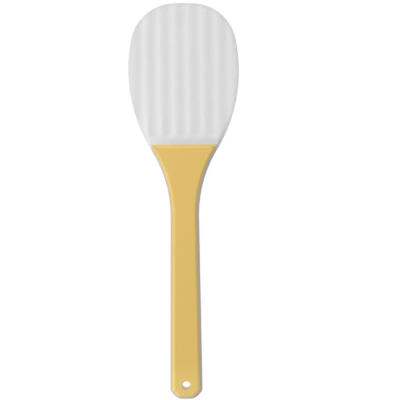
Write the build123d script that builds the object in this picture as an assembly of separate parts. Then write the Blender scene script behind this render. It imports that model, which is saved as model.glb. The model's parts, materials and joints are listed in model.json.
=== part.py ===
from build123d import *
import os
from math import cos, radians, sin, sqrt, tan

# A flat paddle for turning and cutting rice. One white plate is both the blade and the middle
# layer of the handle. A wood strip lies in a slot in the handle and stiffens it, and a coloured
# cover is welded on each face, which seals the strip in. The handle's slanted sides are cut
# through cover and plate together, and a hole for a hook goes through all the layers.
# +Y runs along the handle to the blade's tip, X is the width and Z the thickness. The paddle
# lies on its back cover, with the origin under its middle. Lengths are in millimetres.

# Outline, seen from above
overall_length = 360.0
blade_width = 100.6
tip_to_widest = 61.2
tip_to_throat = 196.3
tip_radius = 140.0
crown_width = 21.2
side_radius = 142.0
cover_to_neck = 4.4
neck_lean = 31.5
throat_width = 26.0
butt_width = 29.4
corner_cut = 7.1
corner_side_radius = 7.5
corner_end_radius = 9.0

# Layers and edges
spine_thickness = 6.0
cover_thickness = 2.0
rim_thickness = 2.0
rim_round = 1.0
round_steps = 2
grip_slant = 45.0
front_run = 3.1
tip_thickness = 3.6
edge_bevel_width = 8.0

# Flutes that keep rice from sticking
blade_length = 129.3
flute_count = 7
flute_pitch = 13.0
flute_width = 9.0
flute_depth = 0.7
flute_to_cover = 7.0
flute_runout = 2.0

# Wood strip in the handle
core_width = 14.0
core_gap = 0.15
core_to_blade = 9.0
core_to_hole = 9.5

# Hole for a hook
hole_radius = 3.75
hole_to_butt = 12.9
hole_break = 0.4

# How far a cutter runs past what it cuts
overrun = 5.0

# Places and slopes that follow from the sizes
tip_y = overall_length / 2
butt_y = -overall_length / 2
widest_y = tip_y - tip_to_widest
throat_y = tip_y - tip_to_throat
front_y = tip_y - blade_length
neck_y = front_y - cover_to_neck
hole_y = butt_y + hole_to_butt
core_top_y = front_y - core_to_blade
core_end_y = hole_y + hole_radius + core_to_hole
middle_z = cover_thickness + spine_thickness / 2
spine_inset = (spine_thickness - rim_thickness) / 2 * tan(radians(grip_slant))
blade_fall = (spine_thickness - tip_thickness) / 2 / blade_length

# Directions that the outline faces on its way from the tip to the butt
facing_tip = Vector(0, 1)
facing_side = Vector(1, 0)
facing_neck = Vector(cos(radians(neck_lean)), -sin(radians(neck_lean)))
facing_cut = Vector(1, -1).normalized()
facing_butt = Vector(0, -1)


def crossing(facing_a, reach_a, facing_b, reach_b):
    """Where two lines cross, each given by its facing and its distance from the origin."""
    twist = facing_a.X * facing_b.Y - facing_a.Y * facing_b.X
    return Vector(
        (reach_a * facing_b.Y - reach_b * facing_a.Y) / twist,
        (reach_b * facing_a.X - reach_a * facing_b.X) / twist,
    )


# Over the widest place, three arcs meet without a corner: the tip's slightly bowed crown, a
# round shoulder, whose radius follows from its neighbours, and the blade's side
tip_centre = Vector(0, tip_y - tip_radius)
side_centre = Vector(blade_width / 2 - side_radius, widest_y)
facing_shoulder = Vector(crown_width / 2, sqrt(tip_radius**2 - crown_width**2 / 4)).normalized()
crown_end = tip_centre + facing_shoulder * tip_radius
crown_run = crown_end - side_centre
crown_slack = side_radius - crown_run.dot(facing_shoulder)
shoulder_radius = (side_radius**2 - crown_run.length**2) / (2 * crown_slack)
shoulder_centre = crown_end - facing_shoulder * shoulder_radius
facing_cheek = (shoulder_centre - side_centre).normalized()

# Below it, the flank bows in to the neck, and the hollow neck arc runs from there into the side
# of the grip, which widens evenly from the throat to the butt
flank_radius = (widest_y - neck_y) / sin(radians(neck_lean))
flank_centre = Vector(blade_width / 2 - flank_radius, widest_y)
neck_top = flank_centre + facing_neck * flank_radius
throat = Vector(throat_width / 2, throat_y)
grip_run = (Vector(butt_width / 2, butt_y) - throat).normalized()
facing_grip = Vector(-grip_run.Y, grip_run.X)
neck_radius = (neck_top - throat).dot(facing_grip) / (1 - facing_neck.dot(facing_grip))
neck_centre = neck_top + facing_neck * neck_radius

# Centres of the two round corners at each side of the butt
grip_reach = throat.dot(facing_grip)
cut_reach = Vector(butt_width / 2, butt_y + corner_cut).dot(facing_cut)
side_corner = crossing(
    facing_grip, grip_reach - corner_side_radius, facing_cut, cut_reach - corner_side_radius
)
end_corner = crossing(
    facing_cut, cut_reach - corner_end_radius, facing_butt, -butt_y - corner_end_radius
)


def bow(centre, radius, facing_a, facing_b):
    """Arc from one facing to another; a hollow arc has a negative radius."""
    facing_middle = (facing_a + facing_b).normalized()
    return ThreePointArc(*(centre + facing * radius for facing in (facing_a, facing_middle, facing_b)))


def flank_facing(y, inset):
    """The direction that the flank, moved in by the inset, faces at that place along the paddle."""
    rise = (y - widest_y) / (flank_radius - inset)
    return Vector(sqrt(1 - rise**2), rise)


# Where the foot of the covers' front edge meets the flank
facing_front = flank_facing(front_y, spine_inset)


def handle_side(inset, facing_start):
    """Right edge of the handle, from a place on the flank to the butt, moved in by the inset."""
    root = bow(flank_centre, flank_radius - inset, facing_start, facing_neck)
    neck = bow(neck_centre, -neck_radius - inset, facing_neck, facing_grip)
    upper = bow(side_corner, corner_side_radius - inset, facing_grip, facing_cut)
    lower = bow(end_corner, corner_end_radius - inset, facing_cut, facing_butt)
    grip = Line(neck @ 1, upper @ 0)
    cut = Line(upper @ 1, lower @ 0)
    end = Line(lower @ 1, (0, butt_y + inset))
    return [root, neck, grip, upper, cut, lower, end]


def blade_side(inset, root_inset):
    """Right edge of the blade, from the tip to the covers' front edge, moved in by the insets."""
    tip = bow(tip_centre, tip_radius - inset, facing_tip, facing_shoulder)
    shoulder = bow(shoulder_centre, shoulder_radius - inset, facing_shoulder, facing_cheek)
    side = bow(side_centre, side_radius - inset, facing_cheek, facing_side)
    widest = Vector(blade_width / 2 - inset, widest_y)
    root = flank_centre + facing_front * (flank_radius - root_inset)
    chord = widest - root
    radius = chord.length**2 / (2 * chord.X)
    centre = widest - facing_side * radius
    flank = bow(centre, radius, facing_side, (root - centre).normalized())
    return [tip, shoulder, side, flank]


def closed(right_edges):
    """Face inside a chain of edges on the right and its mirror image on the left."""
    left_edges = [mirror(edge, about=Plane.YZ) for edge in right_edges]
    return make_face([*left_edges, *reversed(right_edges)])


def slice_at(height, inset, root_inset):
    """The plate's outline at a height over its middle."""
    right_edges = blade_side(inset, root_inset) + handle_side(root_inset, facing_front)
    return Pos(0, 0, height) * closed(right_edges)


def half_blank():
    """Front half of the plate, uncut: an upright rim that is rounded into the slanted sides."""
    slant = radians(grip_slant)
    round_foot = rim_thickness / 2 - rim_round * tan(slant / 2)
    slices = []
    for step in range(round_steps + 1):
        turn = slant * step / round_steps
        inset = rim_round * (1 - cos(turn))
        slices.append(slice_at(round_foot + rim_round * sin(turn), inset, inset))
    slices.append(slice_at(spine_thickness / 2, edge_bevel_width, spine_inset))
    return extrude(slice_at(0, 0, 0), amount=round_foot) + loft(slices, ruled=True)


def blade_cutters():
    """What is planed and milled from the blade's front: a slow fall to the tip, and the flutes."""
    blade_face = Plane((0, front_y, spine_thickness / 2), x_dir=(1, 0, 0), z_dir=(0, blade_fall, 1))
    planer_size = (blade_width + overrun, blade_length + overrun, overrun)
    planer = blade_face * Box(*planer_size, align=(Align.CENTER, Align.MIN, Align.MIN))
    flute_radius = (flute_width**2 / 4 + flute_depth**2) / (2 * flute_depth)
    axis_height = flute_radius - flute_depth
    reach = blade_length - flute_to_cover + overrun
    section = Polyline(
        (0, 0), (axis_height, 0), (flute_radius, flute_runout), (flute_radius, reach), (0, reach),
        close=True,
    )
    bar = revolve(make_face(section), axis=Axis.Y)
    places = [(number - (flute_count - 1) / 2) * flute_pitch for number in range(flute_count)]
    flutes = [blade_face * Pos(place, flute_to_cover, axis_height) * bar for place in places]
    return [planer, *flutes]


def strip(gap):
    """The wood strip, or the slot for it, which is larger by the gap all round."""
    length = core_top_y - core_end_y + 2 * gap
    outline = SlotOverall(length, core_width + 2 * gap, rotation=90)
    return extrude(Pos(0, (core_top_y + core_end_y) / 2) * outline, spine_thickness / 2, both=True)


def hook_hole():
    """The hole through all the layers."""
    length = spine_thickness + 2 * cover_thickness + 2 * overrun
    return Pos(0, hole_y) * Cylinder(hole_radius, length)


def blade_plate():
    """White plate: fluted blade with a thin edge, neck, and the handle's slotted middle layer."""
    half = half_blank()
    for cutter in blade_cutters():
        half -= cutter
    return half + mirror(half, about=Plane.XY) - strip(core_gap) - hook_hole()


def cover_slice(rise):
    """The front cover's outline at a rise over the plate's face; it is smaller the higher it is."""
    inset = spine_inset + rise * tan(radians(grip_slant))
    edge_y = front_y - front_run * rise / cover_thickness
    handle = handle_side(inset, flank_facing(edge_y, inset))
    edge = Line((0, edge_y), handle[0] @ 0)
    return Pos(0, 0, spine_thickness / 2 + rise) * closed([edge, *handle])


def grip_cover():
    """Coloured front cover: its sides go on from the plate's, and its front edge is a gentler slope."""
    cover = loft([cover_slice(0), cover_slice(cover_thickness)], ruled=True)
    cover -= hook_hole()
    mouth = cover.faces().sort_by(Axis.Z)[-1].inner_wires()[0]
    return chamfer(mouth.edges(), hole_break)


front_cover = grip_cover()
pieces = {
    "blade_plate": blade_plate(),
    "wood_core": strip(0),
    "front_cover": front_cover,
    "back_cover": mirror(front_cover, about=Plane.XY),
}

os.makedirs("parts", exist_ok=True)
for name, piece in pieces.items():
    placed = Pos(0, 0, middle_z) * piece
    export_step(placed, f"parts/{name}.step")
    print(name, round(placed.volume, 1), "mm3", placed.bounding_box().size)
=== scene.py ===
# %% [markdown]
# A rice paddle from white and yellow sheet
#
# The real paddle is a laminate. One white polyethylene plate is both the blade and the middle of
# the handle, a wood strip lies in a slot in it, and a yellow cover is welded on each face of the
# handle. This lesson dresses the measured model of it: the plate's milled blade is made by a
# rule in Geometry Nodes, the covers are lofted rings of points, and every finish is procedural.

# %% The measured model
import json
from math import atan2, ceil, cos, hypot, pi, radians, sin, sqrt, tan

import bmesh
import bpy
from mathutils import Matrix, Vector
from mathutils.geometry import delaunay_2d_cdt
from mathutils.kdtree import KDTree


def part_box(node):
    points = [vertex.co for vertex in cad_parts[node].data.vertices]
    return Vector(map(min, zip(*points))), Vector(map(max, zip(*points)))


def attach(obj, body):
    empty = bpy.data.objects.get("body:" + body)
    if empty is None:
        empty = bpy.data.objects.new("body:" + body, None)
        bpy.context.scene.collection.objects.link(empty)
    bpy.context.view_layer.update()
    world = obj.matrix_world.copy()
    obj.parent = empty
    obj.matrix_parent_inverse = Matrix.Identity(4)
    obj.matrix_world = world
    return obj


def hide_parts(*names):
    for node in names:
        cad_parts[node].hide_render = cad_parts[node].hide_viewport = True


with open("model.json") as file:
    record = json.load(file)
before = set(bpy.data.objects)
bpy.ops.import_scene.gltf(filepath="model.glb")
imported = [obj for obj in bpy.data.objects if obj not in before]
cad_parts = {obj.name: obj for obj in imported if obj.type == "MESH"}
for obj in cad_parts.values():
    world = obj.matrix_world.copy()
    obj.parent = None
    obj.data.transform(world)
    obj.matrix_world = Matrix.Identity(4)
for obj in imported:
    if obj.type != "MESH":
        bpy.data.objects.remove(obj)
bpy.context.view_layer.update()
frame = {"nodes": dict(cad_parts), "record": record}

MM = 0.001
print("nodes:", ", ".join(sorted(frame["nodes"])))

# %% [markdown]
# Sizes
#
# What the model can tell is read from it: the length, the width, the thickness of each layer,
# where the covers begin and where the hole is. The radii of the outline can't be read from a box,
# so they are named here, in millimetres. The flutes are 0.15 mm shallower than in the solid,
# because the photograph shows little shade in them. All of it is in one frame: +Y runs along the
# handle to the blade's tip, X is the width, and Z is the thickness, with the paddle on its back.

# %% Sizes that the model gives
plate_low, plate_high = (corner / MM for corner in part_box("blade_plate"))
cover_low, cover_high = (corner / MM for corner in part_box("front_cover"))
hang_hole = next(m for m in frame["record"]["mounts"] if m["name"] == "hang_hole")

tip_y = plate_high.y
butt_y = plate_low.y
blade_width = plate_high.x - plate_low.x
spine_thickness = plate_high.z - plate_low.z
middle_z = (plate_high.z + plate_low.z) / 2
cover_thickness = cover_high.z - cover_low.z
front_y = cover_high.y
hole_y = hang_hole["pos_m"][1] / MM
hole_radius = hang_hole["dims"]["r_mm"]
print(f"length {tip_y - butt_y:.1f}, width {blade_width:.1f}, plate {spine_thickness:.1f} thick")
print(f"covers {cover_thickness:.1f} thick from y {front_y:.1f}, hole at y {hole_y:.1f}")

# %% Sizes of the outline, the edges and the flutes
tip_to_widest = 61.2
tip_to_throat = 196.3
tip_radius = 140.0
crown_width = 21.2
side_radius = 142.0
cover_to_neck = 4.4
neck_lean = 31.5
throat_width = 26.0
butt_width = 29.4
corner_cut = 7.1
corner_side_radius = 7.5
corner_end_radius = 9.0

rim_thickness = 2.0
rim_round = 1.0
grip_slant = 45.0
front_run = 3.1
tip_thickness = 3.6
edge_bevel_width = 8.0
hole_break = 0.4

flute_count = 7
flute_pitch = 13.0
flute_width = 9.0
flute_depth = 0.55
flute_to_cover = 7.0
flute_runout = 2.0

# %% [markdown]
# The outline
#
# Seen from above, the edge is a chain of arcs that meet without a corner: the tip's bowed crown, a
# round shoulder, the side, the flank, the hollow neck, then the straight grip with two round
# corners at the butt. Each arc is kept as a centre, a signed radius and the two directions it
# faces. An edge that is moved in by some distance then has the same centres and directions, and
# only its radius changes, so rings of points at any inset match point for point. That is why arcs
# are kept here, and not a drawn curve, whose offset would have to be searched for.

# %% Centres and radii that follow from the sizes
widest_y = tip_y - tip_to_widest
throat_y = tip_y - tip_to_throat
neck_y = front_y - cover_to_neck
spine_inset = (spine_thickness - rim_thickness) / 2 * tan(radians(grip_slant))

facing_tip = Vector((0, 1))
facing_side = Vector((1, 0))
facing_neck = Vector((cos(radians(neck_lean)), -sin(radians(neck_lean))))
facing_cut = Vector((1, -1)).normalized()
facing_butt = Vector((0, -1))


def crossing(facing_a, reach_a, facing_b, reach_b):
    """Where two lines cross, each given by its facing and its distance from the origin."""
    twist = facing_a.x * facing_b.y - facing_a.y * facing_b.x
    across = (reach_a * facing_b.y - reach_b * facing_a.y) / twist
    along = (reach_b * facing_a.x - reach_a * facing_b.x) / twist
    return Vector((across, along))


tip_centre = Vector((0, tip_y - tip_radius))
side_centre = Vector((blade_width / 2 - side_radius, widest_y))
crown_half = crown_width / 2
facing_shoulder = Vector((crown_half, sqrt(tip_radius**2 - crown_half**2))).normalized()
crown_end = tip_centre + facing_shoulder * tip_radius
crown_run = crown_end - side_centre
crown_slack = side_radius - crown_run.dot(facing_shoulder)
shoulder_radius = (side_radius**2 - crown_run.length_squared) / (2 * crown_slack)
shoulder_centre = crown_end - facing_shoulder * shoulder_radius
facing_cheek = (shoulder_centre - side_centre).normalized()

flank_radius = (widest_y - neck_y) / sin(radians(neck_lean))
flank_centre = Vector((blade_width / 2 - flank_radius, widest_y))
neck_top = flank_centre + facing_neck * flank_radius
throat = Vector((throat_width / 2, throat_y))
grip_run = (Vector((butt_width / 2, butt_y)) - throat).normalized()
facing_grip = Vector((-grip_run.y, grip_run.x))
neck_radius = (neck_top - throat).dot(facing_grip) / (1 - facing_neck.dot(facing_grip))
neck_centre = neck_top + facing_neck * neck_radius

grip_reach = throat.dot(facing_grip)
cut_reach = Vector((butt_width / 2, butt_y + corner_cut)).dot(facing_cut)
side_corner = crossing(
    facing_grip, grip_reach - corner_side_radius, facing_cut, cut_reach - corner_side_radius
)
end_corner = crossing(
    facing_cut, cut_reach - corner_end_radius, facing_butt, -butt_y - corner_end_radius
)
print(f"shoulder radius {shoulder_radius:.1f}, flank {flank_radius:.1f}, neck {neck_radius:.1f}")


# %% Points along the right edge
def arc(centre, radius, facing_a, facing_b, spacing, count=None):
    """Places on an arc as pairs of point and facing; a hollow arc has a negative radius."""
    start = atan2(facing_a.y, facing_a.x)
    turn = atan2(facing_b.y, facing_b.x) - start
    count = count or max(2, ceil(abs(radius * turn) / spacing))
    places = []
    for step in range(count):
        angle = start + turn * step / count
        facing = Vector((cos(angle), sin(angle)))
        places.append((centre + facing * radius, facing))
    return places


def run(start, end, facing, spacing):
    """Places on a straight stretch, all with the same facing."""
    count = max(1, ceil((end - start).length / spacing))
    return [(start.lerp(end, step / count), facing) for step in range(count)]


def grip_places(spacing, corner_spacing):
    """The handle's right edge, from the neck to the middle of the butt."""
    grip_start = neck_centre - facing_grip * neck_radius
    grip_end = side_corner + facing_grip * corner_side_radius
    cut_start = side_corner + facing_cut * corner_side_radius
    cut_end = end_corner + facing_cut * corner_end_radius
    butt_start = end_corner + facing_butt * corner_end_radius
    butt_middle = Vector((0, butt_y))
    return [
        *arc(neck_centre, -neck_radius, facing_neck, facing_grip, spacing),
        *run(grip_start, grip_end, facing_grip, spacing),
        *arc(side_corner, corner_side_radius, facing_grip, facing_cut, corner_spacing),
        *run(cut_start, cut_end, facing_cut, corner_spacing),
        *arc(end_corner, corner_end_radius, facing_cut, facing_butt, corner_spacing),
        *run(butt_start, butt_middle, facing_butt, spacing),
        (butt_middle, facing_butt),
    ]


def blade_places(spacing):
    """The blade's right edge, from the middle of the tip to the neck."""
    return [
        *arc(tip_centre, tip_radius, facing_tip, facing_shoulder, spacing),
        *arc(shoulder_centre, shoulder_radius, facing_shoulder, facing_cheek, spacing),
        *arc(side_centre, side_radius, facing_cheek, facing_side, spacing),
        *arc(flank_centre, flank_radius, facing_side, facing_neck, spacing),
    ]


edge_spacing = 1.1
corner_spacing = 0.6
right_places = blade_places(edge_spacing) + grip_places(edge_spacing, corner_spacing)
print(len(right_places), "places along the right edge")


def all_round(right):
    """A closed ring, clockwise from the tip's middle: the right half and its mirror image."""
    return right + [Vector((-point.x, point.y)) for point in reversed(right[1:-1])]


def ring(inset_at):
    """A closed ring of points, moved in from the edge by what the function gives at a place."""
    return all_round([point - facing * inset_at(point) for point, facing in right_places])


# %% [markdown]
# The camera
#
# The photograph looks straight down from about arm's length. The paddle lies left of the picture's
# middle, so the camera stands a little to its right, and half a degree askew. The camera is turned
# by that angle, because the model stays where it is. A real lens is given as a focal length: it
# follows from the width of the field.

# %% Camera over the paddle
picture_pixels = 400
field_width = 364.1
camera_distance = 720.0
camera_turn = radians(-0.55)
picture_centre = Vector((13.95, 0.6))
sensor_width = 36.0
nearest_seen = 10.0
farthest_seen = 50000.0

camera_data = bpy.data.cameras.new("overhead_camera")
camera_data.sensor_width = sensor_width
camera_data.lens = sensor_width * camera_distance / field_width
camera_data.clip_start = nearest_seen * MM
camera_data.clip_end = farthest_seen * MM
camera = bpy.data.objects.new("overhead_camera", camera_data)
camera.location = Vector((*picture_centre, middle_z + camera_distance)) * MM
camera.rotation_euler = (0, 0, camera_turn)
bpy.context.scene.collection.objects.link(camera)
bpy.context.scene.camera = camera
print(f"lens {camera_data.lens:.1f} mm, {field_width / picture_pixels:.3f} mm to a pixel")

# %% [markdown]
# Sums on sockets
#
# Both geometry and finishes below are sums over places. Written node by node, a sum is long and
# hard to read, so a small class wraps a socket: an expression on it adds the Math nodes. Colours
# and vectors don't go through those sums, because a Math node would turn them grey.


# %% A socket that can be added up
class Wire:
    """An output socket of a node tree, on which sums are written as on a number."""

    def __init__(self, tree, socket=None):
        self.tree = tree
        self.socket = socket

    def node(self, kind, settings=None, sockets=None):
        """Add any node: its settings first, then the values or wires of its sockets."""
        made = self.tree.nodes.new(kind)
        for name, value in (settings or {}).items():
            if name == "stops":
                put_stops(made.color_ramp, value)
            else:
                setattr(made, name, value)
        for key, value in (sockets or {}).items():
            inputs = [s for s in made.inputs if s.enabled]
            socket = inputs[key] if isinstance(key, int) else next(s for s in inputs if s.name == key)
            for one in value if isinstance(value, list) else [value]:
                if isinstance(one, Wire):
                    self.tree.links.new(one.socket, socket)
                else:
                    socket.default_value = one
        return Wire(self.tree, next((s for s in made.outputs if s.enabled), None))

    def out(self, name):
        """Another output of the same node."""
        return Wire(self.tree, self.socket.node.outputs[name])

    def math(self, operation, *values):
        """A Math node on these values."""
        return self.node("ShaderNodeMath", {"operation": operation}, dict(enumerate(values)))

    def __add__(self, other):
        return self.math("ADD", self, other)

    def __radd__(self, other):
        return self.math("ADD", other, self)

    def __sub__(self, other):
        return self.math("SUBTRACT", self, other)

    def __rsub__(self, other):
        return self.math("SUBTRACT", other, self)

    def __mul__(self, other):
        return self.math("MULTIPLY", self, other)

    def __rmul__(self, other):
        return self.math("MULTIPLY", other, self)

    def __truediv__(self, other):
        return self.math("DIVIDE", self, other)

    def __rtruediv__(self, other):
        return self.math("DIVIDE", other, self)

    def root(self):
        """Square root, taken as none under zero."""
        return self.math("SQRT", self.math("MAXIMUM", self, 0))

    def clamp(self, low, high):
        """The value, kept between two others."""
        return self.math("MINIMUM", self.math("MAXIMUM", self, low), high)

    def between(self, low, high):
        """0 below the first place and 1 past the second, with a soft change between them."""
        settings = {"interpolation_type": "SMOOTHSTEP"}
        return self.node("ShaderNodeMapRange", settings, {0: self, 1: low, 2: high})


def put_stops(ramp, stops):
    """Give a colour ramp its stops, each a place and a grey level or a colour."""
    while len(ramp.elements) < len(stops):
        ramp.elements.new(1)
    for element, (place, level) in zip(ramp.elements, stops):
        element.position = place
        element.color = (level, level, level, 1) if isinstance(level, (int, float)) else (*level, 1)


# %% [markdown]
# The white plate
#
# The real plate is sawn from 6 mm sheet. Its handle is routed to a slant, which runs out on the
# flanks. The blade's edge is only rolled off softly by hand, the blade is planed thinner towards the
# tip, and seven shallow flutes are milled along it so that rice doesn't stick. Each of these is a
# rule: the height at a place depends on how far it is from the edge, how far along the blade it is,
# and how far from the middle of a flute. So the plate starts as a flat blank, and a Geometry Nodes
# tree lifts each point to the lowest of the three cuts.
#
# The blank needs points where the cuts bend: rings along the edge, and columns along the flutes.

# %% The cuts, as far as the blank must know them
half_spine = spine_thickness / 2
half_rim = rim_thickness / 2
blade_length = tip_y - front_y
blade_fall = (spine_thickness - tip_thickness) / 2 / blade_length
flute_y = front_y + flute_to_cover
flute_radius = (flute_width**2 / 4 + flute_depth**2) / (2 * flute_depth)
land_half_height = half_rim - rim_round * tan(radians(grip_slant / 2))


def flank_facing(y, inset):
    """The direction that the flank, moved in by the inset, faces at that place along the paddle."""
    rise = (y - widest_y) / (flank_radius - inset)
    return Vector((sqrt(1 - rise**2), rise))


# The slant's inner line, its crest, runs out on the flank in one arc from the covers' corner
crest_root = flank_centre + flank_facing(front_y, spine_inset) * (flank_radius - spine_inset)
crest_run = Vector((blade_width / 2 - edge_bevel_width, widest_y)) - crest_root
crest_radius = crest_run.length_squared / (2 * crest_run.x)
print(f"flute radius {flute_radius:.1f}, crest radius {crest_radius:.1f}")

# %% Rings along the edge
rim_insets = [0, 0.04, 0.13, 0.29, 0.6, 1.1]
inner_insets = [(1.55, 1.8), (2.0, 3.0), (2.45, 4.4)]
inner_change = 20.0


def inner_inset(point, at_handle, at_blade):
    """An inset that is one thing on the handle and grows evenly to another on the blade."""
    share = min(max((point.y - front_y) / inner_change, 0), 1)
    return at_handle + share * (at_blade - at_handle)


rings = [ring(lambda point, inset=inset: inset) for inset in rim_insets]
rings += [ring(lambda point, pair=pair: inner_inset(point, *pair)) for pair in inner_insets]
print(len(rings), "rings of", len(rings[0]), "points")

# %% Columns along the flutes
flute_columns = [0, 0.9, 1.8, 2.7, 3.5, 4.1, 4.5, 4.9, 5.7]
row_spacing = 1.1
runout_row_spacing = 0.5
clear_of_ring = 0.5
clear_of_tip = 1.0
digits_kept = 3

across = {flute_pitch * (flute_count + 1) / 2 * side for side in (-1, 1)}
for number in range(flute_count + 1):
    middle = (number - flute_count / 2) * flute_pitch
    across.add(middle)
    for column in flute_columns:
        across |= {middle + flute_pitch / 2 - column, middle - flute_pitch / 2 + column}
across = sorted({round(x, digits_kept) for x in across if abs(x) < blade_width / 2})

rows = []
row = front_y - row_spacing
while row < tip_y:
    rows.append(row)
    near_runout = flute_y - row_spacing < row < flute_y + flute_runout + row_spacing
    row += runout_row_spacing if near_runout else row_spacing


def half_width(y, inset):
    """Half the paddle's width at a place along the blade, moved in by the inset."""
    if y < widest_y:
        return flank_centre.x + sqrt((flank_radius - inset) ** 2 - (y - widest_y) ** 2)
    reaches = []
    for centre, radius in (
        (side_centre, side_radius), (shoulder_centre, shoulder_radius), (tip_centre, tip_radius),
    ):
        reach = (radius - inset) ** 2 - (y - centre.y) ** 2
        reaches.append(centre.x + sqrt(reach) if reach > 0 else 0)
    return min(reaches)


ring_points = [point for points in rings for point in points]
near_ring = KDTree(len(ring_points))
for number, point in enumerate(ring_points):
    near_ring.insert(point.to_3d(), number)
near_ring.balance()

grid = []
for y in rows:
    room = half_width(y, rim_insets[-1]) if y < tip_y - clear_of_tip else 0
    for x in across:
        point = Vector((x, y))
        if abs(x) < room and near_ring.find(point.to_3d())[2] > clear_of_ring:
            grid.append(point)
print(len(across), "columns,", len(rows), "rows,", len(grid), "points kept")

# %% [markdown]
# The points are joined into triangles by a Delaunay mesher, with the rings as fixed edges. The hole
# and the slot for the wood strip are left open. Only the outer ring is marked as the rim, because
# the tree measures distances from it.


# %% The flat blank
def circle(centre, radius, count):
    """Points round a circle."""
    angles = [2 * pi * number / count for number in range(count)]
    return [centre + Vector((cos(angle), sin(angle))) * radius for angle in angles]


core_low, core_high = (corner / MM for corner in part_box("wood_core"))
core_gap = 0.15
slot_radius = (core_high.x - core_low.x) / 2 + core_gap
slot_ends = (core_high.y + core_gap - slot_radius, core_low.y - core_gap + slot_radius)
slot_steps = 24
hole_steps = 48
keep_inside = 1
same_point_within = 1e-5

slot = []
for end, side in zip(slot_ends, (1, -1)):
    angles = [pi * step / slot_steps for step in range(slot_steps + 1)]
    slot += [Vector((cos(a) * slot_radius * side, end + sin(a) * slot_radius * side)) for a in angles]
hole_centre = Vector((0, hole_y))
hole = circle(hole_centre, hole_radius, hole_steps)


def in_slot(point):
    """Whether a point lies in the slot for the wood strip."""
    nearest = min(max(point.y, slot_ends[1]), slot_ends[0])
    return hypot(point.x, point.y - nearest) < slot_radius


def flat_blank():
    """The plate's outline as a flat mesh, one vertex for each point above."""
    loops = rings + [slot, hole]
    points = [point for loop in loops for point in loop] + grid
    edges = []
    start = 0
    for loop in loops:
        count = len(loop)
        edges += [(start + number, start + (number + 1) % count) for number in range(count)]
        start += count
    outline = list(range(len(rings[0])))
    places, _, triangles, origins, _, _ = delaunay_2d_cdt(
        points, edges, [outline], keep_inside, same_point_within
    )
    kept = []
    for corners in triangles:
        first, second, third = (places[corner] for corner in corners)
        middle = (first + second + third) / 3
        if not in_slot(middle) and (middle - hole_centre).length > hole_radius:
            faces_up = (second - first).cross(third - first) > 0
            kept.append(corners if faces_up else corners[::-1])
    mesh = bpy.data.meshes.new("blank")
    mesh.from_pydata([(*place * MM, 0) for place in places], [], kept)
    rim = mesh.attributes.new("rim", "BOOLEAN", "POINT")
    for number, origin in enumerate(origins):
        rim.data[number].value = any(o < len(rings[0]) for o in origin)
    return mesh


blank = flat_blank()
print(len(blank.vertices), "points and", len(blank.polygons), "triangles in the blank")

# %% [markdown]
# The tree gets each size as a named input, in millimetres, and works out three heights over the
# plate's middle: of the edge, of the planed face and of the flutes. A smooth minimum joins them, so
# the arrises are a little soft, as on milled plastic. Then the boundary is drawn down to the middle,
# and a mirror image makes the back. The distance from the edge is kept on the mesh for the finish.


# %% Tree that mills the plate
weld_distance = 0.002
crease_angle = radians(35)


def new_tree(name, sizes):
    """A Geometry Nodes tree with a mesh and these sizes as inputs, and a mesh as output."""
    tree = bpy.data.node_groups.new(name, "GeometryNodeTree")
    tree.interface.new_socket("Blank", in_out="INPUT", socket_type="NodeSocketGeometry")
    for label in sizes:
        tree.interface.new_socket(label, in_out="INPUT", socket_type="NodeSocketFloat")
    tree.interface.new_socket("Mesh", in_out="OUTPUT", socket_type="NodeSocketGeometry")
    return tree


plate_sizes = {
    "Widest Y": widest_y,
    "Front Y": front_y,
    "Flute Y": flute_y,
    "Half Thickness": half_spine,
    "Half Rim": half_rim,
    "Land": land_half_height,
    "Bevel Width": edge_bevel_width,
    "Narrow Bevel": spine_inset,
    "Flank Radius": flank_radius,
    "Crest Radius": crest_radius,
    "Roll Start": 12.0,
    "Roll Full": 30.0,
    "Roll Width": 3.6,
    "Roll Drop": 0.3,
    "Roll Corner": 0.6,
    "Blade Fall": blade_fall,
    "Flute Pitch": flute_pitch,
    "Flute Radius": flute_radius,
    "Flute Depth": flute_depth,
    "Flute Runout": flute_runout,
    "Outermost Flute": (flute_count - 1) / 2,
    "Crisp Arris": 0.12,
    "Blade Arris": 0.8,
    "Flute Arris": 0.8,
    "Arris Change": 15.0,
    "Middle Z": middle_z,
}


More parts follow.
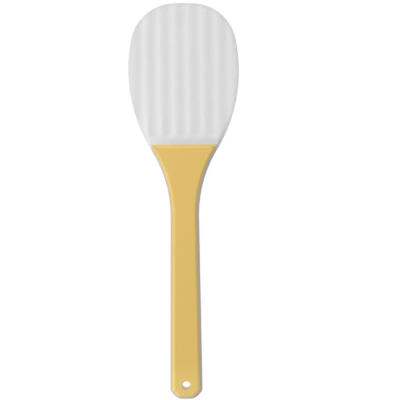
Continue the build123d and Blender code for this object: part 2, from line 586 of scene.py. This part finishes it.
def milled_height(start, size, x, y, inset):
    """The plate's height over its middle at a place, as far as the lowest cut leaves it."""
    below = (size("Widest Y") - y).clamp(0, size("Widest Y") - size("Front Y"))
    flank = size("Flank Radius")
    crest = size("Crest Radius")
    crest_sag = crest - (crest * crest - below * below).root()
    flank_sag = flank - (flank * flank - below * below).root()
    lean = (1 - (below / flank) * (below / flank)).root()
    width = (size("Bevel Width") + crest_sag - flank_sag) * lean
    width = start.math("MAXIMUM", width, size("Narrow Bevel"))

    slope = (size("Half Thickness") - size("Half Rim")) / width
    slant = start.math("ARCTANGENT", slope)
    half_turn = (pi / 2 - slant) / 2
    radius = (size("Half Rim") - size("Land")) / start.math("TANGENT", half_turn)
    round_run = radius - start.math("MINIMUM", inset, radius)
    round_height = size("Land") + (radius * radius - round_run * round_run).root()
    bevel_height = size("Half Rim") + slope * inset
    in_round = start.math("LESS_THAN", inset, radius - radius * start.math("SINE", slant))
    routed = bevel_height + in_round * (round_height - bevel_height)

    along = start.math("MAXIMUM", y - size("Front Y"), 0)
    face = size("Half Thickness") - size("Blade Fall") * along

    short = 1 - (inset / size("Roll Width")).clamp(0, 1)
    corner = size("Roll Corner")
    corner_run = corner - start.math("MINIMUM", inset, corner)
    corner_drop = corner - (corner * corner - corner_run * corner_run).root()
    rolled = face - size("Roll Drop") * short * short - corner_drop
    by_hand = along.between(size("Roll Start"), size("Roll Full"))
    edge = routed + by_hand * (rolled - routed)

    outermost = size("Outermost Flute")
    number = start.math("ROUND", x / size("Flute Pitch")).clamp(0 - outermost, outermost)
    aside = x - number * size("Flute Pitch")
    axis_height = size("Flute Radius") - size("Flute Depth")
    sunk = ((y - size("Flute Y")) / size("Flute Runout")).clamp(-1, 1)
    reach = axis_height + size("Flute Depth") * sunk
    flute = face + axis_height - (reach * reach - aside * aside).root()

    on_blade = y.between(size("Front Y"), size("Front Y") + size("Arris Change"))
    soft = size("Crisp Arris") + on_blade * (size("Blade Arris") - size("Crisp Arris"))
    plane = start.math("SMOOTH_MIN", edge, face, soft)
    return start.math("SMOOTH_MIN", plane, flute, size("Flute Arris"))


def milling_tree(sizes, material):
    """The tree that turns the flat blank into the finished plate."""
    tree = new_tree("mill_plate", sizes)
    start = Wire(tree)
    inputs = start.node("NodeGroupInput")
    size = inputs.out
    flat = inputs.out("Blank")

    place = start.node("GeometryNodeInputPosition")
    parts = start.node("ShaderNodeSeparateXYZ", sockets={0: place})
    is_rim = start.node("GeometryNodeInputNamedAttribute", {"data_type": "BOOLEAN"}, {"Name": "rim"})
    rim = start.node("GeometryNodeSeparateGeometry", {"domain": "POINT"}, {0: flat, 1: is_rim})
    near = start.node("GeometryNodeProximity", {"target_element": "EDGES"}, {0: rim})
    inset = near.out("Distance") / MM
    height = milled_height(start, size, parts.out("X") / MM, parts.out("Y") / MM, inset)
    known = start.node(
        "GeometryNodeStoreNamedAttribute", {"data_type": "FLOAT", "domain": "POINT"},
        {"Geometry": flat, "Name": "from_edge", "Value": inset},
    )
    lifted = start.node("ShaderNodeCombineXYZ", sockets={2: height * MM})
    front = start.node("GeometryNodeSetPosition", sockets={"Geometry": known, "Offset": lifted})

    neighbours = start.node("GeometryNodeInputMeshEdgeNeighbors")
    border = start.math("LESS_THAN", neighbours, 2)
    skirt = start.node(
        "GeometryNodeExtrudeMesh", {"mode": "EDGES"},
        {"Mesh": front, "Selection": border, "Offset Scale": 0},
    )
    on_middle = start.node("ShaderNodeVectorMath", {"operation": "MULTIPLY"}, {0: place, 1: (1, 1, 0)})
    walled = start.node(
        "GeometryNodeSetPosition",
        sockets={"Geometry": skirt, "Selection": skirt.out("Top"), "Position": on_middle},
    )
    turned = start.node("GeometryNodeTransform", sockets={"Geometry": walled, "Scale": (1, 1, -1)})
    back = start.node("GeometryNodeFlipFaces", sockets={0: turned})
    both = start.node("GeometryNodeJoinGeometry", sockets={0: [walled, back]})
    whole = start.node(
        "GeometryNodeMergeByDistance", sockets={"Geometry": both, "Distance": weld_distance * MM}
    )

    smooth = start.node("GeometryNodeSetShadeSmooth", {"domain": "FACE"}, {0: whole})
    bend = start.node("GeometryNodeInputMeshEdgeAngle")
    sharp = start.math("GREATER_THAN", bend, crease_angle)
    crisp = start.node(
        "GeometryNodeSetShadeSmooth", {"domain": "EDGE"},
        {"Geometry": smooth, "Selection": sharp, "Shade Smooth": False},
    )
    raised = start.node("ShaderNodeCombineXYZ", sockets={2: size("Middle Z") * MM})
    placed = start.node("GeometryNodeTransform", sockets={"Geometry": crisp, "Translation": raised})
    real = start.node("GeometryNodeRealizeInstances", sockets={0: placed})
    named = start.node("GeometryNodeSetMaterial", sockets={"Geometry": real, "Material": material})
    start.node("NodeGroupOutput", sockets={0: named})
    return tree


# %% [markdown]
# White polyethylene
#
# The plate is neutral white, satin, and a little translucent, so light spreads for about a
# millimetre under its surface and softens every arris. The routed sides of the handle are painted
# greyer and warmer than the blade, as painted shade with a warm cast, because they lie between
# yellow layers that hold back and tint their light. Faint marks run along the cutter's way, and
# finer grain covers everything. Painted shade darkens the blade along its edge and the corner in
# front of the cover. The hole's wall is painted pale and warm, as painted light, because light
# comes to it through the layers around it.
#
# Each of these is a mask, from 0 to 1, worked out from the place on the paddle, and the distance
# from the edge comes from the mesh.


# %% A finish that starts from the piece's own coordinates
def new_finish(name):
    """A material with a principled shader; gives the material, its shader node and a wire."""
    material = bpy.data.materials.new(name)
    material.use_nodes = True
    shader = material.node_tree.nodes["Principled BSDF"]
    start = Wire(material.node_tree)
    coordinates = start.node("ShaderNodeTexCoord").out("Object")
    return material, shader, coordinates


def noise(coordinates, size, roughness, detail=2.0, stretch=(1, 1, 1)):
    """Noise with features of about this size in millimetres, and one stretch for each axis."""
    scaled = coordinates.node(
        "ShaderNodeMapping", sockets={"Vector": coordinates, "Scale": tuple(1 / s for s in stretch)}
    )
    sockets = {"Vector": scaled, "Scale": 1 / (size * MM), "Detail": detail, "Roughness": roughness}
    return coordinates.node("ShaderNodeTexNoise", sockets=sockets)


def tint(coordinates, colour, factor):
    """A colour that is multiplied by a grey or coloured wire."""
    return coordinates.node(
        "ShaderNodeMix", {"data_type": "RGBA", "blend_type": "MULTIPLY"},
        {"Factor": 1.0, "A": colour, "B": factor},
    )


def blend(coordinates, factor, colour_a, colour_b):
    """A colour between two others, either of which may be a wire."""
    sockets = {"Factor": factor, "A": colour_a, "B": colour_b}
    return coordinates.node("ShaderNodeMix", {"data_type": "RGBA"}, sockets)


def grey(level):
    """A colour whose three parts are all this wire."""
    return level.node("ShaderNodeCombineColor", sockets={0: level, 1: level, 2: level})


def bumped(height, strength, depth):
    """A normal that follows a wire of heights, with its full depth in millimetres."""
    sockets = {"Strength": strength, "Distance": depth * MM, "Height": height}
    return height.node("ShaderNodeBump", sockets=sockets)


def plug(shader, sockets):
    """Set a shader's sockets, each to a value or a wire."""
    for name, value in sockets.items():
        if isinstance(value, Wire):
            value.tree.links.new(value.socket, shader.inputs[name])
        else:
            shader.inputs[name].default_value = value


white_colour = (0.745, 0.745, 0.745, 1)
# painted shade with a warm cast on the handle's routed sides, for light the yellow layers hold back and
# tint
handle_side_painted_shade = (0.75, 0.64, 0.515, 1)
# painted light on the hole's wall: paler and warmer than the white, for light that comes through the
# layers around it
hole_wall_painted_light = (0.97, 0.92, 0.78, 1)
handle_fade = 5.0
hole_wall_reach = (0.3, 1.0)

# painted shade in the corner in front of the cover, for the shadow of the cover's front edge
corner_shade = 0.11
corner_fade_in = 3.0
corner_fade_out = (1.0, 9.0)
corner_left_x = (-32.0, -8.0)
# painted shade along the blade's edge, fading inwards over a few millimetres
edge_shade = 0.07
edge_fade = (0.2, 4.6)
unshaded_white = 0.975
cloud_lift = 0.03
mark_lift = 0.01
plastic_ior = 1.51
plastic_grain = 0.25
plastic_grain_depth = 0.02


def white_level(x, y, on_blade, cloud, marks):
    """How pale the white is at a place, next to its full colour."""
    # painted shade: darker in front of the cover, growing from the left towards the middle and right
    in_front = y.between(front_y - corner_fade_in, front_y)
    beyond = y.between(*(front_y + reach for reach in corner_fade_out))
    in_corner = in_front * (1 - beyond) * x.between(*corner_left_x)
    # painted shade along the blade's edge, from the distance to the edge kept on the mesh
    from_edge = x.node("ShaderNodeAttribute", {"attribute_name": "from_edge"}).out("Fac")
    on_edge = (1 - from_edge.between(*edge_fade)) * on_blade
    # the white before the painted shade is taken off
    unshaded = unshaded_white + cloud * cloud_lift + marks * mark_lift
    return unshaded - in_corner * corner_shade - on_edge * edge_shade


def white_polyethylene():
    """Satin white plastic with milled flutes and routed edges."""
    material, shader, coordinates = new_finish("satin_white_plastic")
    parts = coordinates.node("ShaderNodeSeparateXYZ", sockets={0: coordinates})
    x = parts.out("X") / MM
    y = parts.out("Y") / MM
    on_blade = y.between(front_y - handle_fade, front_y)
    from_hole = (x * x + (y - hole_y) * (y - hole_y)).root()
    # where the painted light on the hole's wall goes
    in_hole = 1 - from_hole.between(*(hole_radius + reach for reach in hole_wall_reach))

    cloud = noise(coordinates, size=30, roughness=0.5)
    marks = noise(coordinates, size=0.35, roughness=0.6, stretch=(1, 40, 1))
    grain = noise(coordinates, size=0.25, roughness=0.6)
    # painted shade: the white is greyer and warmer on the handle's sides, full white on the blade
    side_painted_shade = blend(coordinates, on_blade, handle_side_painted_shade, (1, 1, 1, 1))
    lit = tint(coordinates, white_colour, grey(white_level(x, y, on_blade, cloud, marks)))
    plug(shader, {
        # painted shade on the handle's sides and painted light on the hole's wall are in this colour
        "Base Color": blend(coordinates, in_hole, tint(coordinates, lit, side_painted_shade), hole_wall_painted_light),
        "Roughness": 0.36 + cloud * 0.06 + marks * 0.05,
        "IOR": plastic_ior,
        "Subsurface Weight": 0.4,
        "Subsurface Radius": (1.0, 0.95, 0.9),
        "Subsurface Scale": 1.2 * MM,
        "Normal": bumped(marks * 0.6 * on_blade + grain * 0.4, plastic_grain, plastic_grain_depth),
    })
    return material


white = white_polyethylene()
print("finish:", white.name)

# %% Mill the plate
body = "root"


def as_piece(name, mesh, slot, *replaced):
    """Link a finished mesh as a piece of the paddle that stands for these CAD nodes."""
    piece = bpy.data.objects.new(name, mesh)
    bpy.context.scene.collection.objects.link(piece)
    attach(piece, body)
    if replaced:
        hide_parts(*replaced)
    return piece


def grown(name, mesh, tree, sizes):
    """The mesh that a tree makes of another mesh, given its sizes by their socket identifiers."""
    carrier = bpy.data.objects.new(name, mesh)
    bpy.context.scene.collection.objects.link(carrier)
    modifier = carrier.modifiers.new(name, "NODES")
    modifier.node_group = tree
    for item in tree.interface.items_tree:
        if item.in_out == "INPUT" and item.name in sizes:
            modifier[item.identifier] = sizes[item.name]
    evaluated = carrier.evaluated_get(bpy.context.evaluated_depsgraph_get())
    result = bpy.data.meshes.new_from_object(evaluated)
    carrier.modifiers.clear()
    bpy.data.objects.remove(carrier)
    result.name = name
    return result


def report(mesh):
    """Print how many triangles a mesh has, whether it is closed, and its volume."""
    probe = bmesh.new()
    probe.from_mesh(mesh)
    open_edges = sum(len(edge.link_faces) != 2 for edge in probe.edges)
    triangles = sum(len(face.verts) - 2 for face in probe.faces)
    volume = probe.calc_volume(signed=True) / MM**3
    probe.free()
    print(f"{mesh.name}: {triangles} triangles, {open_edges} open edges, {volume:.0f} mm3")


plate_mesh = grown("milled_plate", blank, milling_tree(plate_sizes, white), plate_sizes)
report(plate_mesh)
as_piece("white_plate", plate_mesh, "white_polyethylene", "blade_plate")

# %% [markdown]
# The yellow covers
#
# Each cover is a 2 mm sheet. Its sides slant by 45 degrees and carry on from the slanted sides of
# the plate, its front edge is a gentler slope, its top arris is slightly rounded, and the mouth of
# the hole is broken. The outline has real corners at the front edge, so each ring is worked out at
# its own inset, and the rings are joined like the hoops of a barrel. Two fills close the flat faces
# round the hole.

# %% Rings of a cover
arris_round = 0.6
arris_steps = 4
support_inset = 0.5
cover_spacing = 1.4
cover_corner_spacing = 0.6
front_steps = 12
root_steps = 5

foot_soft = 0.05
lip_soft = 0.06
lip_run = 0.04
arris_run = arris_round * tan(radians(grip_slant / 2))


def cover_profile():
    """Steps up a cover's side, as pairs of inset from the foot and height over the plate."""
    steps = [(0, 0)]
    for step in range(arris_steps + 1):
        turn = radians(grip_slant + (90 - grip_slant) * step / arris_steps)
        inset = cover_thickness + arris_run - arris_round * cos(turn)
        steps.append((inset, cover_thickness - arris_round * (1 - sin(turn))))
    steps.append((steps[-1][0] + support_inset, cover_thickness))
    return steps


def cover_ring(shrink):
    """The cover's outline, smaller than its foot by this much, and by more at the front edge."""
    inset = spine_inset + shrink
    edge_y = front_y - shrink * front_run / cover_thickness
    facing_edge = flank_facing(edge_y, inset)
    root = arc(flank_centre, flank_radius, facing_edge, facing_neck, cover_spacing, root_steps)
    handle = root + grip_places(cover_spacing, cover_corner_spacing)
    right = [point - facing * inset for point, facing in handle]
    edge = [Vector((0, edge_y)).lerp(right[0], step / front_steps) for step in range(front_steps)]
    return all_round(edge + right)


def mouth_profile():
    """Steps up the wall of the hole, as pairs of radius and height over the plate."""
    lip_radius = hole_radius + hole_break
    break_foot = cover_thickness - hole_break
    return [
        (hole_radius, 0),
        (hole_radius, break_foot - foot_soft),
        (hole_radius + foot_soft, break_foot + foot_soft),
        (lip_radius - lip_soft, cover_thickness - lip_soft),
        (lip_radius + lip_run, cover_thickness),
        (lip_radius + support_inset, cover_thickness),
    ]


def barrel(build, loops):
    """Join rings of points, given as pairs of points and height, and return their edges' ends."""
    hoops = []
    for points, height in loops:
        hoops.append([build.verts.new(Vector((*point, height)) * MM) for point in points])
    for lower, upper in zip(hoops, hoops[1:]):
        count = len(lower)
        for number in range(count):
            after = (number + 1) % count
            build.faces.new((lower[number], upper[number], upper[after], lower[after]))
    return hoops[0], hoops[-1]


def fill_between(build, outer, inner, facing):
    """Close the flat space between two rings with triangles that face one way."""
    edges = []
    for hoop in (outer, inner):
        for number, vertex in enumerate(hoop):
            edges.append(build.edges.get((vertex, hoop[(number + 1) % len(hoop)])))
    made = bmesh.ops.triangle_fill(build, use_beauty=True, edges=edges)
    for face in [f for f in made["geom"] if isinstance(f, bmesh.types.BMFace)]:
        if face.normal.z * facing < 0:
            face.normal_flip()


def cover_mesh(name, side, material):
    """A cover on the front (side 1) or the back (side -1) of the plate."""
    build = bmesh.new()
    outer_foot, outer_top = barrel(build, [(cover_ring(s), h) for s, h in cover_profile()])
    mouth = [(circle(hole_centre, radius, hole_steps), height) for radius, height in mouth_profile()]
    inner_foot, inner_top = barrel(build, mouth)
    fill_between(build, outer_top, inner_top, 1)
    fill_between(build, outer_foot, inner_foot, -1)
    bmesh.ops.recalc_face_normals(build, faces=build.faces)
    for vertex in build.verts:
        vertex.co.z = middle_z * MM + side * (vertex.co.z + half_spine * MM)
    if side < 0:
        bmesh.ops.reverse_faces(build, faces=build.faces)
    mesh = bpy.data.meshes.new(name)
    build.to_mesh(mesh)
    build.free()
    mesh.shade_smooth()
    mesh.set_sharp_from_angle(angle=crease_angle)
    mesh.materials.append(material)
    return mesh


# %% [markdown]
# Yellow polyethylene
#
# The covers are ochre all through, with a satin skin from the sheet's rolling. The colour is nearly
# even: it clouds by a percent or two over a few centimetres, a very fine grain breaks the sheen, and
# the colour is paler and lighter towards the end round the hole.

# %% Yellow finish
yellow_colour = (0.757, 0.518, 0.127, 1)
# a paler ochre towards the butt end round the hole
paler_butt_yellow = (0.81, 0.576, 0.164, 1)
paler_from = butt_y + 36
paler_to = butt_y + 14
clean_yellow = 0.98
yellow_cloud_lift = 0.025
speckle_lift = 0.015


def yellow_polyethylene():
    """Satin ochre plastic."""
    material, shader, coordinates = new_finish("satin_ochre_plastic")
    cloud = noise(coordinates, size=35, roughness=0.5)
    speckle = noise(coordinates, size=0.8, roughness=0.6)
    grain = noise(coordinates, size=0.2, roughness=0.6)
    y = coordinates.node("ShaderNodeSeparateXYZ", sockets={0: coordinates}).out("Y") / MM
    ochre = blend(coordinates, y.between(paler_to, paler_from), paler_butt_yellow, yellow_colour)
    level = clean_yellow + cloud * yellow_cloud_lift + speckle * speckle_lift
    plug(shader, {
        "Base Color": tint(coordinates, ochre, grey(level)),
        "Roughness": 0.4 + speckle * 0.06,
        "IOR": plastic_ior,
        "Subsurface Weight": 0.35,
        "Subsurface Radius": (1.0, 0.8, 0.4),
        "Subsurface Scale": 1.6 * MM,
        "Normal": bumped(grain, plastic_grain, plastic_grain_depth),
    })
    return material


yellow = yellow_polyethylene()
for name, side, node in (("yellow_front", 1, "front_cover"), ("yellow_back", -1, "back_cover")):
    mesh = cover_mesh(name, side, yellow)
    report(mesh)
    as_piece(name + "_cover", mesh, "yellow_polyethylene", node)

# %% [markdown]
# The wood strip
#
# Nobody sees the strip, but it is a piece of the paddle, and its measured solid is already right. It
# keeps that solid and gets a pale planed wood: long streaks along Y, from noise that is stretched.

# %% Wood finish on the measured strip
wood_light = (0.66, 0.49, 0.31)
wood_dark = (0.5, 0.34, 0.19)


def pale_wood():
    """Pale straight-grained wood."""
    material, shader, coordinates = new_finish("planed_pale_wood")
    streaks = noise(coordinates, size=1.6, roughness=0.6, detail=5, stretch=(1, 25, 1))
    pores = noise(coordinates, size=0.3, roughness=0.5, stretch=(1, 12, 1))
    colour = coordinates.node(
        "ShaderNodeValToRGB", {"stops": [(0.3, wood_dark), (0.7, wood_light)]}, {0: streaks}
    )
    pitted = bumped(pores, strength=0.4, depth=0.05)
    plug(shader, {"Base Color": colour, "Roughness": 0.55 + pores * 0.15, "Normal": pitted})
    return material


core = frame["nodes"]["wood_core"]
core.data.materials.clear()
core.data.materials.append(pale_wood())
print("wood strip dressed")

# %% [markdown]
# Light and floor
#
# The photograph was lit by a broad soft light overhead, by a soft box at the upper left, and by low
# light from beyond the tip and from the left. What faces up dims a little towards the lower right,
# the slanted sides and the flutes' slopes that face the low light are bright, and those that face
# away are only as dim as their tilt makes them. Here the world is the broad light, with a level that
# rises with height, and three lamps are the rest. The floor is pale and throws light back on the
# paddle. For the camera alone it mostly glows, so it is white, and greyer only where it is shaded.

# %% World
scene = bpy.context.scene
scene.view_settings.view_transform = "Standard"

horizon_level = 0.1
overhead_level = 0.92
fall_to_right = 0.05


def seen_by_camera(start):
    """1 where the camera looks, straight, in a reflection or through glass, and 0 for other light."""
    rays = start.node("ShaderNodeLightPath")
    straight = start.math("MAXIMUM", rays.out("Is Camera Ray"), rays.out("Is Glossy Ray"))
    return start.math("MAXIMUM", straight, rays.out("Is Transmission Ray"))


def overhead_light():
    """World whose light is strongest overhead, and which the camera sees as white."""
    world = bpy.data.worlds.new("overhead_light")
    world.use_nodes = True
    tree = world.node_tree
    tree.nodes.clear()
    start = Wire(tree)
    direction = start.node("ShaderNodeTexCoord")
    parts = start.node("ShaderNodeSeparateXYZ", sockets={0: direction})
    upward = horizon_level + parts.out("Z").clamp(0, 1) * overhead_level
    level = upward * (1 - parts.out("X") * fall_to_right)
    glow = start.node("ShaderNodeBackground", sockets={"Color": (1, 1, 1, 1), "Strength": level})
    white_wall = start.node("ShaderNodeBackground", sockets={"Color": (1, 1, 1, 1)})
    mixed = start.node("ShaderNodeMixShader", sockets={0: seen_by_camera(start), 1: glow, 2: white_wall})
    start.node("ShaderNodeOutputWorld", sockets={"Surface": mixed})
    return world


scene.world = overhead_light()

# %% Lamps
def lamp(name, place, size, level):
    """A rectangular lamp that faces the paddle's middle, with its place and size in millimetres.

    The level is about what a white card at the paddle's middle would show if it faced the lamp.
    """
    data = bpy.data.lights.new(name, "AREA")
    data.shape = "RECTANGLE"
    data.size, data.size_y = (side * MM for side in size)
    data.energy = level * (pi * place.length * MM) ** 2
    made = bpy.data.objects.new(name, data)
    made.location = place * MM
    made.rotation_euler = place.to_track_quat("Z", "Y").to_euler()
    made.visible_camera = False
    scene.collection.objects.link(made)


strip_size = (2200.0, 240.0)
box_size = (300.0, 300.0)
lamp("soft_box", Vector((-350, 150, 600)), box_size, 0.25)
lamp("tip_strip", Vector((-600, 1520, 120)), strip_size, 0.4)
lamp("left_strip", Vector((-1300, -1080, 120)), strip_size, 0.36)

# %% Floor
floor_half = 6000.0
floor_gap = 0.05
floor_colour = (0.6, 0.6, 0.6, 1)
floor_shading = (0.12, 0.12, 0.12, 1)
floor_glow = 0.93


def pale_floor():
    """Floor finish: plain pale card, lifted to white for the camera where nothing shades it."""
    material, shader, coordinates = new_finish("pale_floor")
    grain = noise(coordinates, size=0.6, roughness=0.6)
    seen = seen_by_camera(coordinates)
    glow = coordinates.node("ShaderNodeEmission", sockets={"Strength": seen * floor_glow})
    plug(shader, {
        "Base Color": blend(coordinates, seen, floor_colour, floor_shading),
        "Roughness": 0.9,
        "Specular IOR Level": 0.0,
        "Normal": bumped(grain, strength=0.1, depth=0.02),
    })
    matte = Wire(material.node_tree, shader.outputs["BSDF"])
    both = coordinates.node("ShaderNodeAddShader", sockets={0: matte, 1: glow})
    output = material.node_tree.nodes["Material Output"]
    material.node_tree.links.new(both.socket, output.inputs["Surface"])
    return material


def flat_floor():
    """A square floor just under the back cover."""
    corners = [(-1, -1), (1, -1), (1, 1), (-1, 1)]
    mesh = bpy.data.meshes.new("floor")
    mesh.from_pydata(
        [(a * floor_half * MM, b * floor_half * MM, -floor_gap * MM) for a, b in corners],
        [], [(0, 1, 2, 3)],
    )
    mesh.materials.append(pale_floor())
    return bpy.data.objects.new("floor", mesh)


floor = flat_floor()
scene.collection.objects.link(floor)
